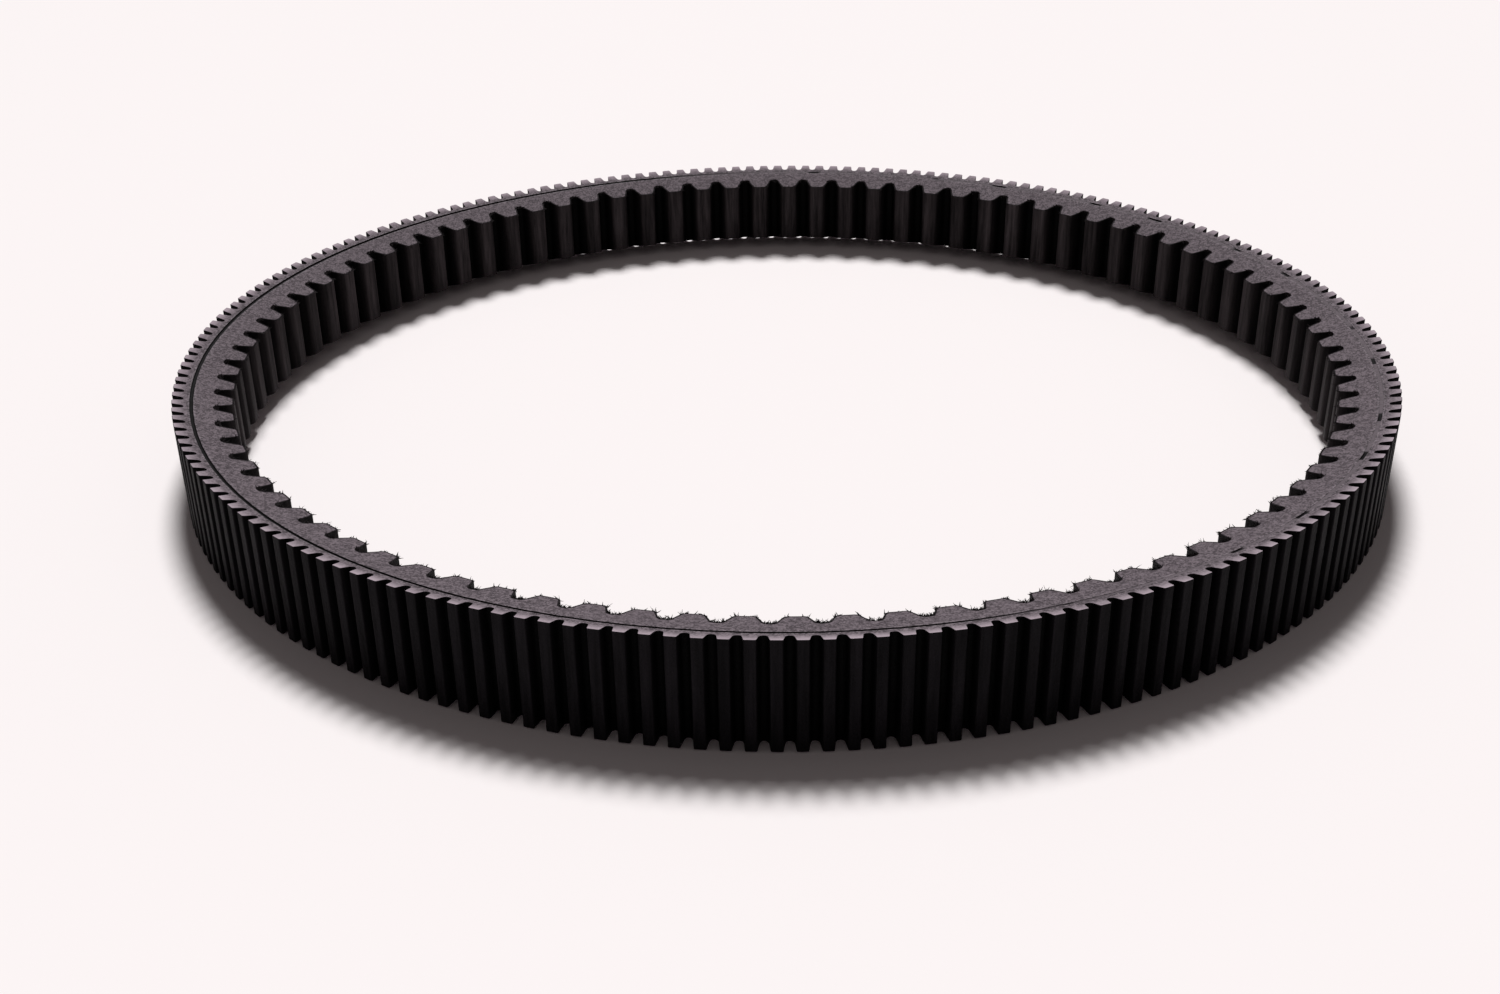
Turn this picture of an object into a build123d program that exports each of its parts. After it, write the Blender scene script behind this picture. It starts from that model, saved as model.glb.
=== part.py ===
from build123d import *
import math
import os

# Double-cogged, raw-edge variable-speed V-belt, lying on its side.
# The belt's axis is +Z, and Z = 0 is the level that the lower rim of the outer cogs rests on.
# The plies are concentric rings that touch face to face, trimmed by the two V-shaped flanks.

# ---- overall sizes (mm) ----
outside_radius = 168.0          # crests of the outer cogs
top_width = 27.0                # across the outer crests, the widest place
flank_angle = 14.0              # each flank leans in by this much, in degrees

# ---- ply thicknesses, from the outside in (mm) ----
overcord_web = 0.9              # solid rubber under the outer gullets
cushion_gum_above_cord = 1.0    # from the top of the gum to the middle of the cord
cushion_gum_below_cord = 1.0    # from the middle of the cord to the undercord
undercord_web = 4.3             # solid rubber between the lower gum and the inner gullets
facing_thickness = 0.5          # fabric cured onto the inner cogs

# ---- outer cogs ----
outer_cog_count = 199
outer_cog_height = 2.9
outer_gullet_mouth = 2.8
outer_gullet_floor = 1.7
outer_floor_round = 0.55 * outer_gullet_floor    # nearly a full round

# ---- inner cogs, measured on the facing fabric ----
inner_cog_count = 91
inner_cog_height = 4.8
inner_gullet_mouth = 5.8
inner_gullet_floor = 2.0
inner_floor_round = 0.55 * inner_gullet_floor
inner_crest_round = 1.3

# ---- tensile cords ----
cord_diameter = 1.0
cord_spacing = 1.45             # wanted distance from the S cord to the Z cord beside it

# ---- what follows from the sizes above ----
flank_slope = math.tan(math.radians(flank_angle))
outer_floor_radius = outside_radius - outer_cog_height
cushion_top_radius = outer_floor_radius - overcord_web
cord_radius = cushion_top_radius - cushion_gum_above_cord
undercord_top_radius = cord_radius - cushion_gum_below_cord
inner_floor_radius = undercord_top_radius - undercord_web - facing_thickness
inner_crest_radius = inner_floor_radius - inner_cog_height

cord_level_width = top_width - 2 * (outside_radius - cord_radius) * flank_slope
turn_count = 1 + round(cord_level_width / cord_spacing)
turn_pitch = cord_level_width / (turn_count - 1)    # the flanks cut the outermost turns in half

trim_margin = 1.0               # cutting tools reach this far past the faces they cut


def half_width(radius):
    """Half the belt's width at this radius, between its two flanks."""
    return top_width / 2 - (outside_radius - radius) * flank_slope


def flank_section(inner_radius, outer_radius):
    """Cross-section of one ply between two radii, as wide as the flanks allow."""
    middle = top_width / 2
    inner = half_width(inner_radius)
    outer = half_width(outer_radius)
    with BuildSketch(Plane.XZ) as section:
        with BuildLine():
            Polyline(
                (inner_radius, middle - inner),
                (outer_radius, middle - outer),
                (outer_radius, middle + outer),
                (inner_radius, middle + inner),
                close=True,
            )
        make_face()
    return section.sketch


def outer_gullet():
    """Plan of one gullet between two outer cogs, open outwards."""
    open_radius = outside_radius + trim_margin
    with BuildSketch() as gullet:
        with BuildLine():
            Polyline(
                (open_radius, outer_gullet_mouth / 2),
                (outside_radius, outer_gullet_mouth / 2),
                (outer_floor_radius, outer_gullet_floor / 2),
                (outer_floor_radius, -outer_gullet_floor / 2),
                (outside_radius, -outer_gullet_mouth / 2),
                (open_radius, -outer_gullet_mouth / 2),
                close=True,
            )
        make_face()
        fillet(gullet.vertices().group_by(Axis.X)[0], outer_floor_round)
    return gullet.sketch


def inner_gullet(growth):
    """Plan of one gullet between two inner cogs, open to the middle, grown evenly all round."""
    half_span = math.pi / inner_cog_count
    crest_x = inner_crest_radius * math.cos(half_span)
    crest_y = inner_crest_radius * math.sin(half_span)
    open_x = crest_x - 2 * trim_margin
    flare = (inner_gullet_mouth - inner_gullet_floor) / 2 / inner_cog_height
    open_half = inner_gullet_mouth / 2 + flare * (inner_crest_radius - open_x)
    with BuildSketch() as gullet:
        with BuildLine():
            ThreePointArc((crest_x, crest_y), (inner_crest_radius, 0), (crest_x, -crest_y))
            Polyline((crest_x, -crest_y), (open_x, -crest_y), (open_x, crest_y), (crest_x, crest_y))
        make_face()
        with BuildLine():
            Polyline(
                (open_x, open_half),
                (inner_floor_radius, inner_gullet_floor / 2),
                (inner_floor_radius, -inner_gullet_floor / 2),
                (open_x, -open_half),
                close=True,
            )
        make_face()
        fillet(gullet.vertices().group_by(Axis.X)[-1], inner_floor_round)
        crest_corners = gullet.vertices().filter_by(
            lambda corner: open_x < corner.X < inner_crest_radius
            and abs(corner.Y) < (open_half + inner_gullet_mouth / 2) / 2
            and corner.X > crest_x
        )
        fillet(crest_corners, inner_crest_round)
        if growth:
            offset(amount=growth)
    return gullet.sketch


def gullets_around(gullet, count, first_angle=0.0):
    """The same gullet repeated evenly round the belt, the first one this many degrees from +X."""
    with BuildSketch() as pattern:
        with PolarLocations(0, count, start_angle=first_angle):
            add(gullet)
    return pattern.sketch


def keep(piece, name):
    """Name a finished ply and write it."""
    piece.label = name
    export_step(piece, f"parts/{name}.step")


os.makedirs("parts", exist_ok=True)

# ---- overcord: the back of the belt, with the fine outer cogs ----
with BuildPart() as overcord:
    with BuildSketch():
        Circle(outside_radius)
        Circle(cushion_top_radius, mode=Mode.SUBTRACT)
        add(
            gullets_around(outer_gullet(), outer_cog_count, 180 / outer_cog_count),
            mode=Mode.SUBTRACT,
        )
    extrude(amount=top_width)
    with BuildSketch(Plane.XZ):
        add(flank_section(cushion_top_radius - trim_margin, outside_radius + trim_margin))
    revolve(axis=Axis.Z, mode=Mode.INTERSECT)
keep(overcord.part, "overcord")

# ---- undercord: compression rubber with the core of the inner cogs ----
with BuildPart() as undercord:
    with BuildSketch():
        Circle(undercord_top_radius)
        Circle(inner_crest_radius + facing_thickness, mode=Mode.SUBTRACT)
        add(gullets_around(inner_gullet(facing_thickness), inner_cog_count), mode=Mode.SUBTRACT)
    extrude(amount=top_width)
    with BuildSketch(Plane.XZ):
        add(flank_section(inner_crest_radius - trim_margin, undercord_top_radius + trim_margin))
    revolve(axis=Axis.Z, mode=Mode.INTERSECT)
keep(undercord.part, "undercord")

# ---- facing fabric: an even skin over the inner cogs and gullets ----
with BuildPart() as inner_facing_fabric:
    with BuildSketch():
        Circle(inner_crest_radius + facing_thickness)
        add(gullets_around(inner_gullet(facing_thickness), inner_cog_count))
        Circle(inner_crest_radius, mode=Mode.SUBTRACT)
        add(gullets_around(inner_gullet(0), inner_cog_count), mode=Mode.SUBTRACT)
    extrude(amount=top_width)
    with BuildSketch(Plane.XZ):
        add(flank_section(inner_crest_radius - trim_margin, undercord_top_radius))
    revolve(axis=Axis.Z, mode=Mode.INTERSECT)
keep(inner_facing_fabric.part, "inner_facing_fabric")


def cord_sections(first_turn, step):
    """Round cord sections at every step-th turn, from one flank to the other."""
    first_height = (top_width - cord_level_width) / 2
    turn_heights = [first_height + turn * turn_pitch for turn in range(first_turn, turn_count, step)]
    with BuildSketch(Plane.XZ) as turns:
        with Locations(*[(cord_radius, height) for height in turn_heights]):
            Circle(cord_diameter / 2)
    return turns.sketch


# ---- tensile cords: an S-twisted and a Z-twisted cord, wound side by side across the belt ----
for twist, first_turn in (("s", 0), ("z", 1)):
    with BuildPart() as tensile_cord:
        with BuildSketch(Plane.XZ):
            add(cord_sections(first_turn, 2))
            add(flank_section(undercord_top_radius, cushion_top_radius), mode=Mode.INTERSECT)
        revolve(axis=Axis.Z)
    keep(tensile_cord.part, f"tensile_cord_{twist}")

# ---- cushion gum: soft rubber that bonds the cords to the plies above and below them ----
for place, gum_inner, gum_outer in (
    ("upper", cord_radius, cushion_top_radius),
    ("lower", undercord_top_radius, cord_radius),
):
    with BuildPart() as cushion_gum:
        with BuildSketch(Plane.XZ):
            add(flank_section(gum_inner, gum_outer))
            add(cord_sections(0, 1), mode=Mode.SUBTRACT)
        revolve(axis=Axis.Z)
    keep(cushion_gum.part, f"{place}_cushion_gum")
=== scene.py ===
import math

import bpy
import numpy as np
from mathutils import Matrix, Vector


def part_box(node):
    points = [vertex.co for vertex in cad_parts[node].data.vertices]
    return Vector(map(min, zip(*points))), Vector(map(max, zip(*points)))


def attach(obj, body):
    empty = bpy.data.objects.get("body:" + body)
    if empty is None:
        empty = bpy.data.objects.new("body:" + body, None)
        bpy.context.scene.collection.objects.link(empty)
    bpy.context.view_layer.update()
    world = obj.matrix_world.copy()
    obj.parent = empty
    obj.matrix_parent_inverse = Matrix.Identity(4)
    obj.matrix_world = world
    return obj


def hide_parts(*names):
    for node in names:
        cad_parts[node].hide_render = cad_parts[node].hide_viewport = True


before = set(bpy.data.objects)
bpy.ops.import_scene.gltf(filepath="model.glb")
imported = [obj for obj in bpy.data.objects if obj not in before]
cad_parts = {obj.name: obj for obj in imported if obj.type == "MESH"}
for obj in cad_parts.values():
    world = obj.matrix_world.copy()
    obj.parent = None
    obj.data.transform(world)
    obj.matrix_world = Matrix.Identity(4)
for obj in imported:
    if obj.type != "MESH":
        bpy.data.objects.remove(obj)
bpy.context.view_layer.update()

# ---------------------------------------------------------------------------------------------
# Overcord: the back of the belt, short-fibre rubber moulded with fine cogs all the way round.
# The mould leaves its crests and gullets smooth and black. The flanks are cut raw with a knife,
# so they show the grey, speckled inside of the rubber.
overcord_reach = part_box("overcord")[1]
outside_radius = overcord_reach.x
belt_width = overcord_reach.z
flank_angle = 14                # how far each flank leans in, in degrees
flank_slope = math.tan(math.radians(flank_angle))
outer_cogs = 199
outer_cog_height = 0.0029
outer_mouth, outer_floor = 0.0028, 0.0017
outer_crest_round, outer_floor_round = 0.00028, 0.55 * outer_floor
outer_unevenness = 0.022        # how much one gullet differs from the next
overcord_thick = 0.0038
overcord_under = outside_radius - overcord_thick
knife_edge = 0.00012            # the small bevel between a cut flank and a moulded face
dice = np.random.default_rng(27)


def rounded(corners, radii, steps=5):
    """An open outline through the corners, with an arc of the given radius at each inner corner."""
    corners = np.array(corners, float)
    outline = [corners[0]]
    for before, corner, after, radius in zip(corners, corners[1:], corners[2:], radii):
        toward = (before - corner) / np.linalg.norm(before - corner)
        away = (after - corner) / np.linalg.norm(after - corner)
        half_turn = math.acos(np.clip(toward @ away, -1, 1)) / 2
        start = corner + toward * radius / math.tan(half_turn)
        end = corner + away * radius / math.tan(half_turn)
        centre = corner + (toward + away) / np.linalg.norm(toward + away) * radius / math.sin(half_turn)
        for share in np.linspace(0, 1, steps):
            ray = (start - centre) * (1 - share) + (end - centre) * share
            outline.append(centre + ray / np.linalg.norm(ray) * radius)
    outline.append(corners[-1])
    return np.array(outline)


def gullet_outline(mouth, floor, height, crest_round, floor_round, pitch, growth=0.0):
    """One gullet from crest to crest: across the belt's run, and depth below the crests."""
    lean = (mouth - floor) / 2 / height
    widen = growth * (math.sqrt(1 + lean * lean) - lean)
    half_mouth = mouth / 2 + widen
    half_floor = floor / 2 + widen
    corners = [(-pitch / 2, 0), (-half_mouth, 0), (-half_floor, height),
               (half_floor, height), (half_mouth, 0), (pitch / 2, 0)]
    return rounded(corners, (crest_round - growth, floor_round + growth,
                             floor_round + growth, crest_round - growth))


def cog_run(outline, count, crest_radius, outward, first, unevenness):
    """The outline repeated round the belt: angle, radius, depth share and cog number of each point.

    Each gullet differs a little in width, in depth and, least of all, in its place round the belt.
    """
    angles, radii, depths, cogs = [], [], [], []
    deepest = outline[:, 1].max()
    inside = np.abs(outline[:-1, 0]) < outline[:, 0].max() * 0.95
    for cog in range(count):
        stretch, sink, slip = 1 + unevenness * dice.standard_normal(3) * (1, 0.6, 0.01)
        radius = crest_radius - outward * outline[:-1, 1] * sink
        angle = 2 * math.pi * (cog + first) / count + (slip - 1)
        angles.append(angle + outline[:-1, 0] * np.where(inside, stretch, 1) / crest_radius)
        radii.append(radius)
        depths.append(outline[:-1, 1] / deepest)
        cogs.append(np.full(len(radius), cog))
    return tuple(np.concatenate(part) for part in (angles, radii, depths, cogs))


def flank_top(radius):
    """Height of the upper flank at a radius."""
    return belt_width - (outside_radius - radius) * flank_slope


def ring_faces(around, across, first=0):
    """Quads that close a grid of points both round the belt and round its cross-section."""
    place = np.arange(around * across).reshape(around, across) + first
    beside = np.roll(place, -1, axis=1)
    corners = (place, beside, np.roll(beside, -1, axis=0), np.roll(place, -1, axis=0))
    return np.stack(corners, axis=-1).reshape(-1, 4)


def add_piece(name, points, faces):
    """A new mesh object from points and faces."""
    mesh = bpy.data.meshes.new(name)
    mesh.from_pydata(np.asarray(points).reshape(-1, 3).tolist(), [], faces)
    piece = bpy.data.objects.new(name, mesh)
    bpy.context.scene.collection.objects.link(piece)
    return piece


def lay_ring(name, rings, cut, depths, cogs):
    """A closed ring of quads. rings holds one loop of points per place round each cross-section."""
    points = np.stack(rings, axis=1)
    around, across = points.shape[:2]
    piece = add_piece(name, points, ring_faces(around, across).tolist())
    mesh = piece.data
    cut_mask = mesh.attributes.new("raw_cut", "FLOAT", "FACE")
    cut_mask.data.foreach_set("value", np.tile(np.array(cut, float), around))
    depth_mask = mesh.attributes.new("depth", "FLOAT", "POINT")
    depth_mask.data.foreach_set("value", np.repeat(depths, across).astype(float))
    shade = dice.random(int(cogs.max()) + 1)
    cog_mask = mesh.attributes.new("cog_shade", "FLOAT", "POINT")
    cog_mask.data.foreach_set("value", np.repeat(shade[cogs], across))
    return piece


def ring_at(angle, radius, height):
    """One loop of points round the belt."""
    return np.stack((radius * np.cos(angle), radius * np.sin(angle), height + 0 * angle), axis=1)


def cross_section(angle_in, radius_in, angle_out, radius_out, bevel_in, bevel_out):
    """Loops of points round a ply's section: top flank outwards, outer wall, lower flank, inner wall."""
    flank_stops = ((0, bevel_in), (0.34, 0), (0.67, 0), (1, -bevel_out))
    wall_stops = (0, 0.12, 0.36, 0.64, 0.88, 1)
    loops, cut = [], []

    def add_flank(stops, lower):
        for at, bevel in stops:
            angle = angle_in + (angle_out - angle_in) * at
            radius = radius_in + (radius_out - radius_in) * at + bevel
            height = flank_top(radius)
            loops.append(ring_at(angle, radius, belt_width - height if lower else height))
            cut.append(1)
        cut[-1] = 0             # the bevel that ends a flank is as smooth as the wall beside it

    def add_wall(angle, radius, bevel, downwards):
        high = flank_top(radius) - bevel
        low = belt_width - flank_top(radius) + bevel
        begin, finish = (high, low) if downwards else (low, high)
        for share in wall_stops:
            loops.append(ring_at(angle, radius, begin + (finish - begin) * share))
            cut.append(0)

    add_flank(flank_stops, lower=False)
    add_wall(angle_out, radius_out, bevel_out, downwards=True)
    add_flank(flank_stops[::-1], lower=True)
    add_wall(angle_in, radius_in, bevel_in, downwards=False)
    return loops, cut


outer_pitch = 2 * math.pi * outside_radius / outer_cogs
outer_outline = gullet_outline(outer_mouth, outer_floor, outer_cog_height,
                               outer_crest_round, outer_floor_round, outer_pitch)
outer_run = cog_run(outer_outline, outer_cogs, outside_radius, 1, 0.5, outer_unevenness)
outer_run[1][:] = np.minimum(outer_run[1], outside_radius)
loops, cut = cross_section(outer_run[0], np.full_like(outer_run[1], overcord_under),
                           outer_run[0], outer_run[1], 0, knife_edge)
overcord = lay_ring("overcord_cogs", loops, cut, outer_run[2], outer_run[3])
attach(overcord, "root")
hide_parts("overcord")


def new_group(name, inputs, outputs):
    """An empty shader group with float inputs and the outputs named."""
    group = bpy.data.node_groups.new(name, "ShaderNodeTree")
    for label, value in inputs.items():
        group.interface.new_socket(label, in_out="INPUT", socket_type="NodeSocketFloat").default_value = value
    for label, kind in outputs.items():
        group.interface.new_socket(label, in_out="OUTPUT", socket_type=kind)
    return group, group.nodes.new("NodeGroupInput"), group.nodes.new("NodeGroupOutput")


def noise(tree, scale, detail=3.0, rough=0.6, stretch=(1, 1, 1)):
    """Noise in the belt's own space, drawn out along an axis by a small stretch."""
    place = tree.nodes.new("ShaderNodeTexCoord")
    mapping = tree.nodes.new("ShaderNodeMapping")
    mapping.inputs["Scale"].default_value = stretch
    texture = tree.nodes.new("ShaderNodeTexNoise")
    texture.inputs["Scale"].default_value = scale
    texture.inputs["Detail"].default_value = detail
    texture.inputs["Roughness"].default_value = rough
    tree.links.new(place.outputs["Object"], mapping.inputs["Vector"])
    tree.links.new(mapping.outputs["Vector"], texture.inputs["Vector"])
    return texture.outputs["Fac"]


def math_node(tree, operation, first, second=0.0, third=0.0, clamp=False):
    """One math node on sockets or numbers."""
    node = tree.nodes.new("ShaderNodeMath")
    node.operation = operation
    node.use_clamp = clamp
    for socket, value in zip(node.inputs, (first, second, third)):
        if isinstance(value, (int, float)):
            socket.default_value = value
        else:
            tree.links.new(value, socket)
    return node.outputs[0]


def mix_colour(tree, share, first, second):
    """Mixes two colours, each a socket or numbers, by a share."""
    node = tree.nodes.new("ShaderNodeMix")
    node.data_type = "RGBA"
    for label, value in (("Factor", share), ("A", first), ("B", second)):
        socket = node.inputs[label]
        if isinstance(value, (tuple, int, float)):
            socket.default_value = (*value, 1) if isinstance(value, tuple) else value
        else:
            tree.links.new(value, socket)
    return node.outputs["Result"]


def spread_out(tree, value, contrast, middle):
    """Draws a noise's middle range apart, round a new middle, and clips it to 0 to 1."""
    off_middle = math_node(tree, "SUBTRACT", value, 0.5)
    return math_node(tree, "MULTIPLY_ADD", off_middle, contrast, middle, clamp=True)


# fibre-loaded rubber: speckle on a cut face, fine streaks across a moulded one
fibre_group, fibre_in, fibre_out = new_group(
    "fibre_rubber", {"Speckle": 1.0, "Streak": 1.0},
    {"Cut": "NodeSocketFloat", "Streaks": "NodeSocketFloat", "Cloud": "NodeSocketFloat",
     "Height": "NodeSocketFloat"})
fine = noise(fibre_group, 1900, 2, 0.8)
grain = noise(fibre_group, 750, 3, 0.75)
cloud = noise(fibre_group, 55, 4, 0.6)
streak = noise(fibre_group, 700, 3, 0.7, (1, 1, 0.07))
speckle = math_node(fibre_group, "ADD", math_node(fibre_group, "MULTIPLY", fine, 0.55),
                    math_node(fibre_group, "MULTIPLY", grain, 0.45))
speckle = spread_out(fibre_group, speckle, 8.5, 0.46)
speckle = math_node(fibre_group, "MULTIPLY", speckle, fibre_in.outputs["Speckle"])
streaks = spread_out(fibre_group, streak, 3.0, 0.5)
streaks = math_node(fibre_group, "MULTIPLY", streaks, fibre_in.outputs["Streak"])
fibre_group.links.new(speckle, fibre_out.inputs["Cut"])
fibre_group.links.new(streaks, fibre_out.inputs["Streaks"])
fibre_group.links.new(cloud, fibre_out.inputs["Cloud"])
fibre_group.links.new(math_node(fibre_group, "ADD", speckle, streaks), fibre_out.inputs["Height"])


def attribute(tree, name):
    """A value stored on the mesh."""
    node = tree.nodes.new("ShaderNodeAttribute")
    node.attribute_name = name
    return node.outputs["Fac"]


def belt_radius(tree):
    """Distance from the belt's axis."""
    place = tree.nodes.new("ShaderNodeTexCoord")
    flatten = tree.nodes.new("ShaderNodeVectorMath")
    flatten.operation = "MULTIPLY"
    flatten.inputs[1].default_value = (1, 1, 0)
    length = tree.nodes.new("ShaderNodeVectorMath")
    length.operation = "LENGTH"
    tree.links.new(place.outputs["Object"], flatten.inputs[0])
    tree.links.new(flatten.outputs[0], length.inputs[0])
    return length.outputs["Value"]


rim_depth = 0.0032              # how far in from the crests a flank gets a painted highlight


def rubber(name, cut_dark, cut_light, skin_dark, skin_lit_crest, sheen, rim_highlight=0.0):
    """Belt rubber: one look where the knife cut it, another where the mould shaped it."""
    material = bpy.data.materials.new(name)
    material.use_nodes = True
    tree = material.node_tree
    shader = tree.nodes["Principled BSDF"]
    fibres = tree.nodes.new("ShaderNodeGroup")
    fibres.node_tree = fibre_group
    raw = attribute(tree, "raw_cut")
    cut_colour = mix_colour(tree, fibres.outputs["Cut"], cut_dark, cut_light)
    cut_colour = mix_colour(tree, math_node(tree, "MULTIPLY", fibres.outputs["Cloud"], 0.5),
                            cut_colour, tuple(0.72 * part for part in cut_light))
    # Painted light and shade: the moulded skin is painted darkest deep in the gullets and lighter towards the
    # crests, as if the crests caught the light, then streaked and varied from cog to cog.
    crest_light_and_streaks = math_node(tree, "SUBTRACT", 1, attribute(tree, "depth"), clamp=True)
    crest_light_and_streaks = math_node(tree, "POWER", crest_light_and_streaks, 3)
    streaked = math_node(tree, "MULTIPLY_ADD", fibres.outputs["Streaks"], 0.75, 0.25)
    crest_light_and_streaks = math_node(tree, "MULTIPLY", crest_light_and_streaks, streaked)
    cog_to_cog = math_node(tree, "MULTIPLY_ADD", attribute(tree, "cog_shade"), 0.5, 0.5)
    crest_light_and_streaks = math_node(tree, "MULTIPLY", crest_light_and_streaks, cog_to_cog)
    skin_colour = mix_colour(tree, crest_light_and_streaks, skin_dark, skin_lit_crest)
    # Painted highlight: the cut flank is painted lighter in cloudy patches near the crests, where the cog
    # ends catch the light.
    into_rim = math_node(tree, "SUBTRACT", belt_radius(tree), outside_radius - rim_depth)
    near_rim = math_node(tree, "DIVIDE", into_rim, rim_depth, clamp=True)
    highlight_patches = math_node(tree, "MULTIPLY", fibres.outputs["Cloud"], rim_highlight)
    painted_rim_highlight = math_node(tree, "MULTIPLY", near_rim, highlight_patches)
    cut_colour = mix_colour(tree, painted_rim_highlight, cut_colour, tuple(1.8 * part for part in cut_light))
    tree.links.new(mix_colour(tree, raw, skin_colour, cut_colour), shader.inputs["Base Color"])
    roughness = math_node(tree, "MULTIPLY_ADD", fibres.outputs["Cloud"], 0.25, 0.5)
    tree.links.new(math_node(tree, "MULTIPLY_ADD", raw, 0.12, roughness), shader.inputs["Roughness"])
    shader.inputs["Specular IOR Level"].default_value = sheen
    bump = tree.nodes.new("ShaderNodeBump")
    bump.inputs["Strength"].default_value = 0.35
    bump.inputs["Distance"].default_value = 0.00015
    tree.links.new(fibres.outputs["Height"], bump.inputs["Height"])
    tree.links.new(bump.outputs["Normal"], shader.inputs["Normal"])
    return material


overcord_rubber = rubber("overcord_rubber", (0.05, 0.041, 0.046), (0.215, 0.178, 0.2),
                         (0.0008, 0.0007, 0.0009), (0.014, 0.012, 0.0145), 0.06, rim_highlight=2.0)
overcord.data.materials.append(overcord_rubber)

# ---------------------------------------------------------------------------------------------
# Cushion gum: two thin sheets of soft rubber, one each side of the cords, that flow round them
# in the mould. Only their cut edges show, each side of the cord line.
def recess(tree, starts, full):
    """How far a point lies below the nearer flank, from 0 at one depth to 1 at another."""
    place = tree.nodes.new("ShaderNodeTexCoord")
    split = tree.nodes.new("ShaderNodeSeparateXYZ")
    tree.links.new(place.outputs["Object"], split.inputs[0])
    off_middle = math_node(tree, "ABSOLUTE", math_node(tree, "SUBTRACT", split.outputs["Z"], belt_width / 2))
    half_width = math_node(tree, "MULTIPLY_ADD", belt_radius(tree), flank_slope,
                           belt_width / 2 - outside_radius * flank_slope)
    below = math_node(tree, "SUBTRACT", half_width, off_middle)
    return math_node(tree, "DIVIDE", math_node(tree, "SUBTRACT", below, starts), full - starts, clamp=True)


cushion_rubber = bpy.data.materials.new("cushion_gum")
cushion_rubber.use_nodes = True
gum_tree = cushion_rubber.node_tree
gum_shader = gum_tree.nodes["Principled BSDF"]
gum_fibres = gum_tree.nodes.new("ShaderNodeGroup")
gum_fibres.node_tree = fibre_group
gum_colour = mix_colour(gum_tree, gum_fibres.outputs["Cut"], (0.05, 0.041, 0.046), (0.2, 0.166, 0.186))
# Painted shade: gum lying below the flank, in the groove along the cord line, is painted near-black.
gum_colour = mix_colour(gum_tree, recess(gum_tree, 0.00003, 0.0001), gum_colour, (0.0012, 0.001, 0.0012))
gum_tree.links.new(gum_colour, gum_shader.inputs["Base Color"])
gum_tree.links.new(math_node(gum_tree, "MULTIPLY_ADD", gum_fibres.outputs["Cloud"], 0.25, 0.58),
                   gum_shader.inputs["Roughness"])
gum_shader.inputs["Specular IOR Level"].default_value = 0.12
for sheet in ("upper_cushion_gum", "lower_cushion_gum"):
    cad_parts[sheet].data.materials.clear()
    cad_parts[sheet].data.materials.append(cushion_rubber)

# ---------------------------------------------------------------------------------------------
# Tensile cords: an S-twisted and a Z-twisted cord, each of three strands, wound side by side
# across the belt. The flanks cut the outermost turns, and the cut cord has shrunk back into its
# channel, which leaves the fine dark line that runs along each flank.
cord_depth = 0.0048
cord_radius = outside_radius - cord_depth
cord_thick = 0.001
cord_turns = 18
cord_width = 2 * (flank_top(cord_radius) - belt_width / 2)
strands, strand_lay, strand_bulge = 3, 0.006, 0.04
least_shrunk, shrinks_further = 0.00003, 0.00042
most_shrunk_at = math.radians(195)
flank_samples, hidden_samples = 2048, 512


def cord_turn(height, samples, twist):
    """One turn of a twisted cord, cut back below whichever flank it meets."""
    angle = np.linspace(0, 2 * math.pi, samples, endpoint=False)
    lay = twist * 2 * math.pi * angle * cord_radius / strand_lay
    pulled = np.clip(0.35 + 1.4 * np.cos(angle - most_shrunk_at), 0, 1)
    gaps = np.sin(31 * angle) + np.sin(47 * angle + 1) + 0.8 * np.sin(83 * angle + 2)
    shrunk = least_shrunk + shrinks_further * np.maximum(pulled, np.clip(gaps - 1.25, 0, 1))
    rings = []
    for phase in np.linspace(0, 2 * math.pi, 12, endpoint=False):
        thick = cord_thick / 2 * (1 - strand_bulge + strand_bulge * np.cos(strands * phase - lay))
        radius = cord_radius + thick * math.cos(phase)
        level = height - thick * math.sin(phase)
        top = flank_top(radius) - shrunk
        level = np.clip(level, belt_width - top, top)
        rings.append(ring_at(angle, radius, level))
    return rings


dipped_cord = bpy.data.materials.new("dipped_cord")
dipped_cord.use_nodes = True
cord_tree = dipped_cord.node_tree
cord_shader = cord_tree.nodes["Principled BSDF"]
cord_ends = mix_colour(cord_tree, noise(cord_tree, 1500, 3, 0.7), (0.06, 0.049, 0.055), (0.18, 0.149, 0.167))
# Painted shade: cord ends shrunk back below the flank are painted near-black, the shade in their channel.
cord_colour = mix_colour(cord_tree, recess(cord_tree, 0.00005, 0.0002), cord_ends, (0.0015, 0.0012, 0.0015))
cord_tree.links.new(cord_colour, cord_shader.inputs["Base Color"])
cord_shader.inputs["Specular IOR Level"].default_value = 0.1
cord_tree.links.new(math_node(cord_tree, "MULTIPLY_ADD", noise(cord_tree, 300), 0.3, 0.6),
                    cord_shader.inputs["Roughness"])

for twist_name, first_turn, twist in (("s", 0, -1), ("z", 1, 1)):
    cord_points, cord_faces = [], []
    for turn in range(first_turn, cord_turns, 2):
        height = belt_width / 2 + cord_width * (turn / (cord_turns - 1) - 0.5)
        samples = flank_samples if turn in (0, cord_turns - 1) else hidden_samples
        rings = cord_turn(height, samples, twist)
        points_so_far = sum(len(points) for points in cord_points)
        cord_faces.append(ring_faces(samples, len(rings), points_so_far))
        cord_points.append(np.stack(rings, axis=1).reshape(-1, 3))
    cord = add_piece(f"twisted_cord_{twist_name}", np.concatenate(cord_points),
                     np.concatenate(cord_faces).tolist())
    cord.data.materials.append(dipped_cord)
    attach(cord, "root")
    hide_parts(f"tensile_cord_{twist_name}")

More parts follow.
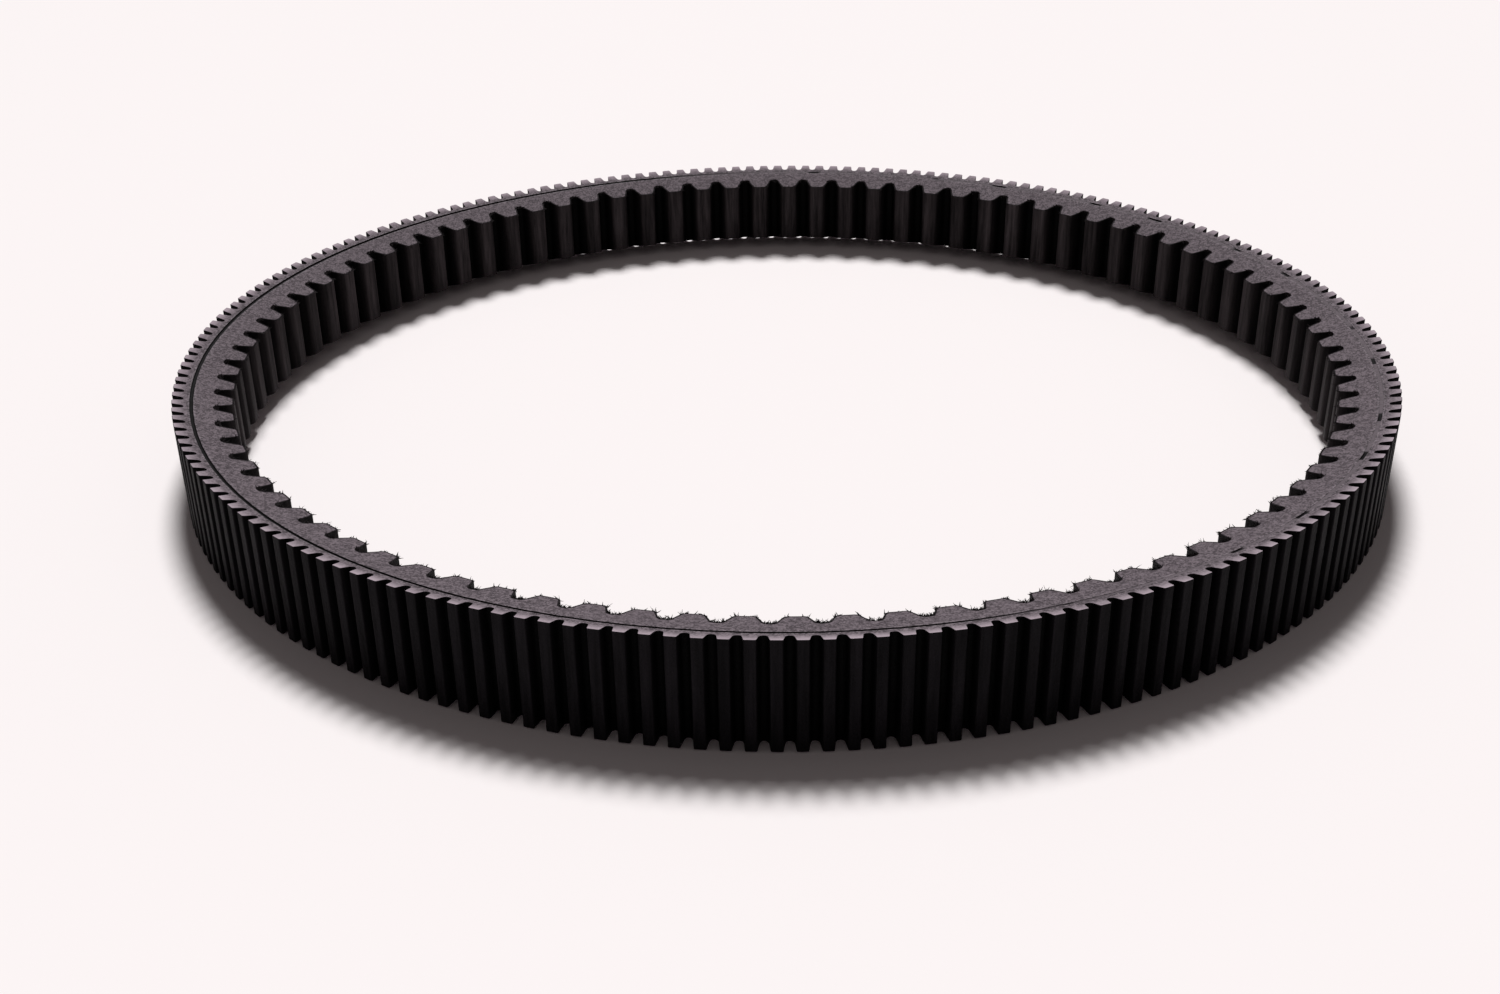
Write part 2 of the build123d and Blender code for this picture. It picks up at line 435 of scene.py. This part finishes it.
# ---------------------------------------------------------------------------------------------
# Undercord: the thick compression rubber with the coarse inner cogs, the same fibre-loaded
# compound as the back. Everything but its cut flanks is hidden by the gum and the facing.
inner_cogs = 91
inner_cog_height = 0.0048
inner_mouth, inner_floor = 0.0058, 0.0020
inner_crest_round, inner_floor_round = 0.0013, 0.0011
inner_unevenness = 0.012
belt_thick = 0.0154
crest_radius = outside_radius - belt_thick
undercord_depth = 0.0058
undercord_top = outside_radius - undercord_depth
facing_thick = 0.0005
inner_pitch = 2 * math.pi * crest_radius / inner_cogs
facing_face = gullet_outline(inner_mouth, inner_floor, inner_cog_height, inner_crest_round,
                             inner_floor_round, inner_pitch)
facing_back = gullet_outline(inner_mouth, inner_floor, inner_cog_height, inner_crest_round,
                             inner_floor_round, inner_pitch, growth=facing_thick)
same_draws = dice.bit_generator.state    # both faces of the fabric follow the same uneven cogs
front_run = cog_run(facing_face, inner_cogs, crest_radius, -1, 0, inner_unevenness)
dice.bit_generator.state = same_draws
back_run = cog_run(facing_back, inner_cogs, crest_radius + facing_thick, -1, 0, inner_unevenness)
front_run[1][:] = np.maximum(front_run[1], crest_radius)
loops, cut = cross_section(back_run[0], back_run[1],
                           back_run[0], np.full_like(back_run[1], undercord_top), 0, 0)
undercord = lay_ring("undercord_cogs", loops, cut, back_run[2], back_run[3])
undercord.data.materials.append(rubber("undercord_rubber", (0.042, 0.034, 0.039), (0.19, 0.157, 0.176),
                                       (0.0008, 0.0007, 0.0009), (0.014, 0.012, 0.0145), 0.06))
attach(undercord, "root")
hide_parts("undercord")

# ---------------------------------------------------------------------------------------------
# Facing fabric: a thin knitted fabric soaked in rubber, cured onto the inner cogs. The knife
# leaves its edge ragged, so short dark ends of thread stand out along the flanks.
loops, cut = cross_section(front_run[0], front_run[1], back_run[0], back_run[1], knife_edge / 2, 0)
facing = lay_ring("facing_fabric_skin", loops, cut, front_run[2], front_run[3])
fabric = rubber("facing_fabric", (0.0015, 0.0012, 0.0015), (0.02, 0.016, 0.018),
                (0.001, 0.0008, 0.001), (0.06, 0.05, 0.053), 0.05)
facing.data.materials.append(fabric)
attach(facing, "root")
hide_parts("inner_facing_fabric")


thread_count = 12000
longest_thread = 0.001
thread_roots = 0.00012          # how far below the flank a thread end starts
thinnest_thread, thickest_thread = 0.00009, 0.00018


def thread_ends(name, run):
    """Tapered, bent ends of thread along the facing's cut edge, more of them in the gullets."""
    points, faces = [], []
    weight = 0.3 + run[2] ** 2
    picks = dice.choice(len(run[0]), thread_count, p=weight / weight.sum())
    for pick in picks:
        angle = run[0][pick] + dice.normal(0, 0.0006)
        radius = run[1][pick] + facing_thick * dice.uniform(0.1, 0.9)
        foot = np.array((radius * math.cos(angle), radius * math.sin(angle),
                         flank_top(radius) - thread_roots))
        inward = -foot / np.linalg.norm(foot[:2]) * (1, 1, 0)
        along = np.array((-math.sin(angle), math.cos(angle), 0))
        leans_in = dice.uniform(0.1, 1.0)
        leans_along = dice.normal(0, 0.6)
        leans_up = dice.uniform(-0.3, 0.8)
        aim = inward * leans_in + along * leans_along + np.array((0, 0, leans_up))
        aim = aim / np.linalg.norm(aim)
        curl = np.array((dice.normal(0, 0.5), dice.normal(0, 0.5), dice.normal(0, 0.3)))
        length = dice.uniform(0.3, 1.0) ** 1.5 * longest_thread
        thick = dice.uniform(thinnest_thread, thickest_thread)
        side = np.cross(aim, (0, 0, 1))
        side = side / (np.linalg.norm(side) + 1e-9)
        lift = np.cross(side, aim)
        first = len(points)
        for step, share in enumerate((0, 0.45, 0.8, 1)):
            middle = foot + aim * length * share + curl * length * share * share * 0.6
            width = thick * (1 - 0.75 * share)
            for corner in range(3):
                turn = 2 * math.pi * corner / 3
                points.append(middle + (side * math.cos(turn) + lift * math.sin(turn)) * width)
            if step:
                low = first + 3 * (step - 1)
                for corner in range(3):
                    after = (corner + 1) % 3
                    faces.append((low + corner, low + 3 + corner, low + 3 + after, low + after))
        faces.append((first, first + 1, first + 2))
        faces.append((first + 11, first + 10, first + 9))
    return add_piece(name, points, faces)


ragged = thread_ends("facing_thread_ends", front_run)
ragged.data.materials.append(fabric)
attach(ragged, "root")

# ---------------------------------------------------------------------------------------------
# The pale floor that the belt lies on, a broad sun behind it, a dim room and the camera. The room
# only fills the shadows faintly, and the camera alone sees it as a bright backdrop.
floor_reach, floor_level = 12, -0.0002
floor_corners = [(floor_reach * along_x, floor_reach * along_y, floor_level)
                 for along_x, along_y in ((-1, -1), (1, -1), (1, 1), (-1, 1))]
floor = add_piece("floor", floor_corners, [(0, 1, 2, 3)])
paper = bpy.data.materials.new("paper")
paper.use_nodes = True
paper_shader = paper.node_tree.nodes["Principled BSDF"]
paper_shader.inputs["Base Color"].default_value = (0.935, 0.885, 0.885, 1)
paper_shader.inputs["Roughness"].default_value = 0.9
floor.data.materials.append(paper)

sky = bpy.data.worlds.new("sky")
sky.use_nodes = True
room_light = sky.node_tree.nodes["Background"]
room_light.inputs["Color"].default_value = (1, 0.9, 0.9, 1)
room_light.inputs["Strength"].default_value = 0.11
backdrop = sky.node_tree.nodes.new("ShaderNodeBackground")
backdrop.inputs["Color"].default_value = (0.97, 0.92, 0.92, 1)
seen = sky.node_tree.nodes.new("ShaderNodeLightPath")
either = sky.node_tree.nodes.new("ShaderNodeMixShader")
sky.node_tree.links.new(seen.outputs["Is Camera Ray"], either.inputs["Fac"])
sky.node_tree.links.new(room_light.outputs[0], either.inputs[1])
sky.node_tree.links.new(backdrop.outputs[0], either.inputs[2])
sky.node_tree.links.new(either.outputs[0], sky.node_tree.nodes["World Output"].inputs["Surface"])
bpy.context.scene.world = sky
bpy.context.scene.view_settings.view_transform = "Standard"

sun_stands = Vector((-0.02, 0.515, 0.857))
key = bpy.data.lights.new("key_light", "SUN")
key.energy = 3.42
key.angle = 0.27
key_lamp = bpy.data.objects.new("key_light", key)
key_lamp.rotation_euler = sun_stands.to_track_quat("Z", "Y").to_euler()
bpy.context.scene.collection.objects.link(key_lamp)

lens = bpy.data.cameras.new("camera")
lens.lens = 39.6
lens.sensor_width = 36
camera = bpy.data.objects.new("camera", lens)
camera.location = (0, -0.44432, belt_width + 0.17378)
camera.rotation_euler = [math.radians(turn) for turn in (62.807, 0.73, 0.897)]
lens.clip_start, lens.clip_end = 0.01, 100
bpy.context.scene.collection.objects.link(camera)
bpy.context.scene.camera = camera
